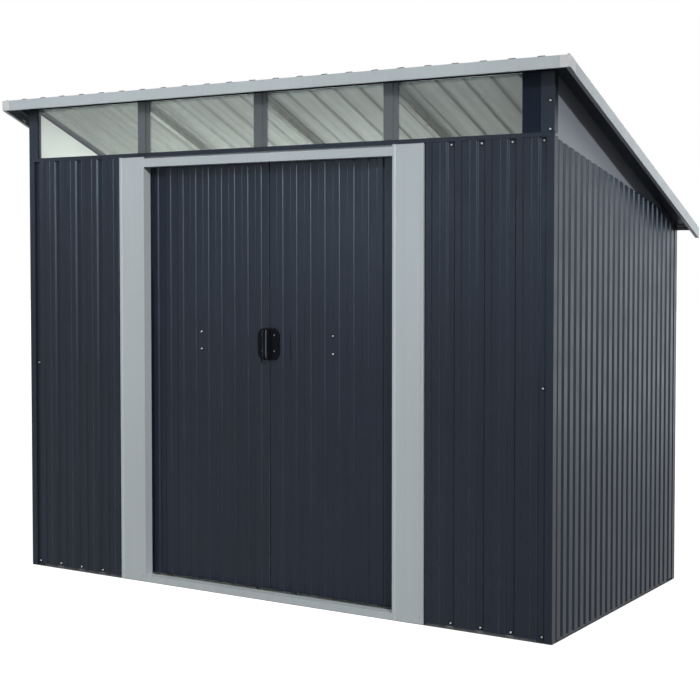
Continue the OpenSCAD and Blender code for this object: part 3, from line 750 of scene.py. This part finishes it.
# Lamps: the place of each, the point that it aims at, its power, width, height and colour
NEUTRAL = (1, 1, 1)
COOL = (0.84, 0.92, 1.0)
SKY_BLUE = (0.62, 0.80, 1.0)
LAMPS = {
    "front": ((-0.3, -2.4, 3.4), (0, -0.6, 1.4), 24, 1.4, 1.4, NEUTRAL),
    "rim": ((3.4, 4.9, 1.2), (1.2, 0, 0.8), 46, 3, 3, COOL),
    "inside": ((-0.27, 0, 1.15), (-0.27, 0, 2), 25, 1.7, 0.8, NEUTRAL),
}
# Lamps that only show as reflections in the gloss: a band of sky, and a strip to each side for the ribs
GLEAMS = {
    "sky": ((-1.4, -4.6, 1.65), (-1.4, -0.6, 1.65), 40, 2.6, 0.9, SKY_BLUE),
    "right_strip": ((4.4, -2.3, 2.7), (0.6, -0.4, 1.5), 450, 0.9, 2.0, SKY_BLUE),
    "left_strip": ((-5.0, -2.0, 2.7), (0.2, -0.6, 1.5), 120, 0.7, 2.0, SKY_BLUE),
}


def seen_rays(tree):
    """1 for rays from the camera and those that gloss and glass send on, 0 for bounced light."""
    path = tree.nodes.new("ShaderNodeLightPath")
    seen = path.outputs["Is Camera Ray"]
    for ray in ("Is Glossy Ray", "Is Transmission Ray"):
        either = tree.nodes.new("ShaderNodeMath")
        either.operation = "MAXIMUM"
        tree.links.new(seen, either.inputs[0])
        tree.links.new(path.outputs[ray], either.inputs[1])
        seen = either.outputs[0]
    return seen


def white_background():
    """White where the camera, gloss and glass look past the object, soft light for everything else."""
    world = bpy.data.worlds.new("studio")
    bpy.context.scene.world = world
    world.use_nodes = True
    tree = world.node_tree
    tree.nodes.clear()
    mix = tree.nodes.new("ShaderNodeMixShader")
    tree.links.new(seen_rays(tree), mix.inputs[0])
    for index, colour, strength in ((1, WORLD_COLOUR, WORLD_STRENGTH), (2, WHITE, 1.0)):
        light = tree.nodes.new("ShaderNodeBackground")
        light.inputs["Color"].default_value = colour
        light.inputs["Strength"].default_value = strength
        tree.links.new(light.outputs[0], mix.inputs[index])
    out = tree.nodes.new("ShaderNodeOutputWorld")
    tree.links.new(mix.outputs[0], out.inputs["Surface"])


def pale_floor():
    """A wide floor: white outside the walls to the camera, gloss and glass but for a soft shadow, and
    darker to bounced light."""
    s = Shader("pale_floor")
    seen = seen_rays(s.tree)
    x, y, _ = s.axes()
    outside = s.either(s.beyond(x, wall_hi.x), s.beyond(y, wall_hi.y))
    s.set(
        Base_Color=s.mix(seen, FLOOR_BOUNCE, FLOOR_SEEN),
        Emission_Color=WHITE,
        Emission_Strength=s.math("MULTIPLY", s.math("MULTIPLY", seen, outside), FLOOR_GLOW),
        Roughness=FLOOR_ROUGHNESS,
        Specular_IOR_Level=0.0,
    )
    half = FLOOR_SIZE / 2
    corners = [(-half, -half, 0), (half, -half, 0), (half, half, 0), (-half, half, 0)]
    mesh = bpy.data.meshes.new("floor")
    mesh.from_pydata(corners, [], [(0, 1, 2, 3)])
    mesh.materials.append(s.material)
    obj = bpy.data.objects.new("floor", mesh)
    bpy.context.scene.collection.objects.link(obj)


def lamp(name, kind, place, aim, energy, **settings):
    data = bpy.data.lights.new(name, kind)
    data.energy = energy
    for key, value in settings.items():
        setattr(data, key, value)
    obj = bpy.data.objects.new(name, data)
    obj.location = place
    obj.rotation_mode = "QUATERNION"
    obj.rotation_quaternion = (Vector(aim) - Vector(place)).to_track_quat("-Z", "Y")
    obj.visible_camera = False
    bpy.context.scene.collection.objects.link(obj)
    return obj


def area_lamp(name, place, aim, power, width, height, colour):
    shape = {"shape": "RECTANGLE", "size": width, "size_y": height}
    return lamp(name, "AREA", place, aim, power, color=colour, **shape)


def camera():
    data = bpy.data.cameras.new("camera")
    data.lens = CAMERA_LENS
    data.sensor_width = SENSOR_W
    data.shift_y = CAMERA_SHIFT
    obj = bpy.data.objects.new("camera", data)
    obj.location = CAMERA_PLACE
    obj.rotation_euler = (CAMERA_TILT, 0, CAMERA_TURN)
    bpy.context.scene.collection.objects.link(obj)
    bpy.context.scene.camera = obj


white_background()
pale_floor()
for name, (stand, strength, width) in SUNS.items():
    lamp(name, "SUN", SUN_DISTANCE * Vector(stand), (0, 0, 0), strength, angle=math.radians(width))
lamps = {name: area_lamp(name, *row) for name, row in LAMPS.items()}
lamps["inside"].visible_glossy = False
for name, row in GLEAMS.items():
    area_lamp(name, *row).visible_diffuse = False
camera()
bpy.context.scene.view_settings.view_transform = "Standard"
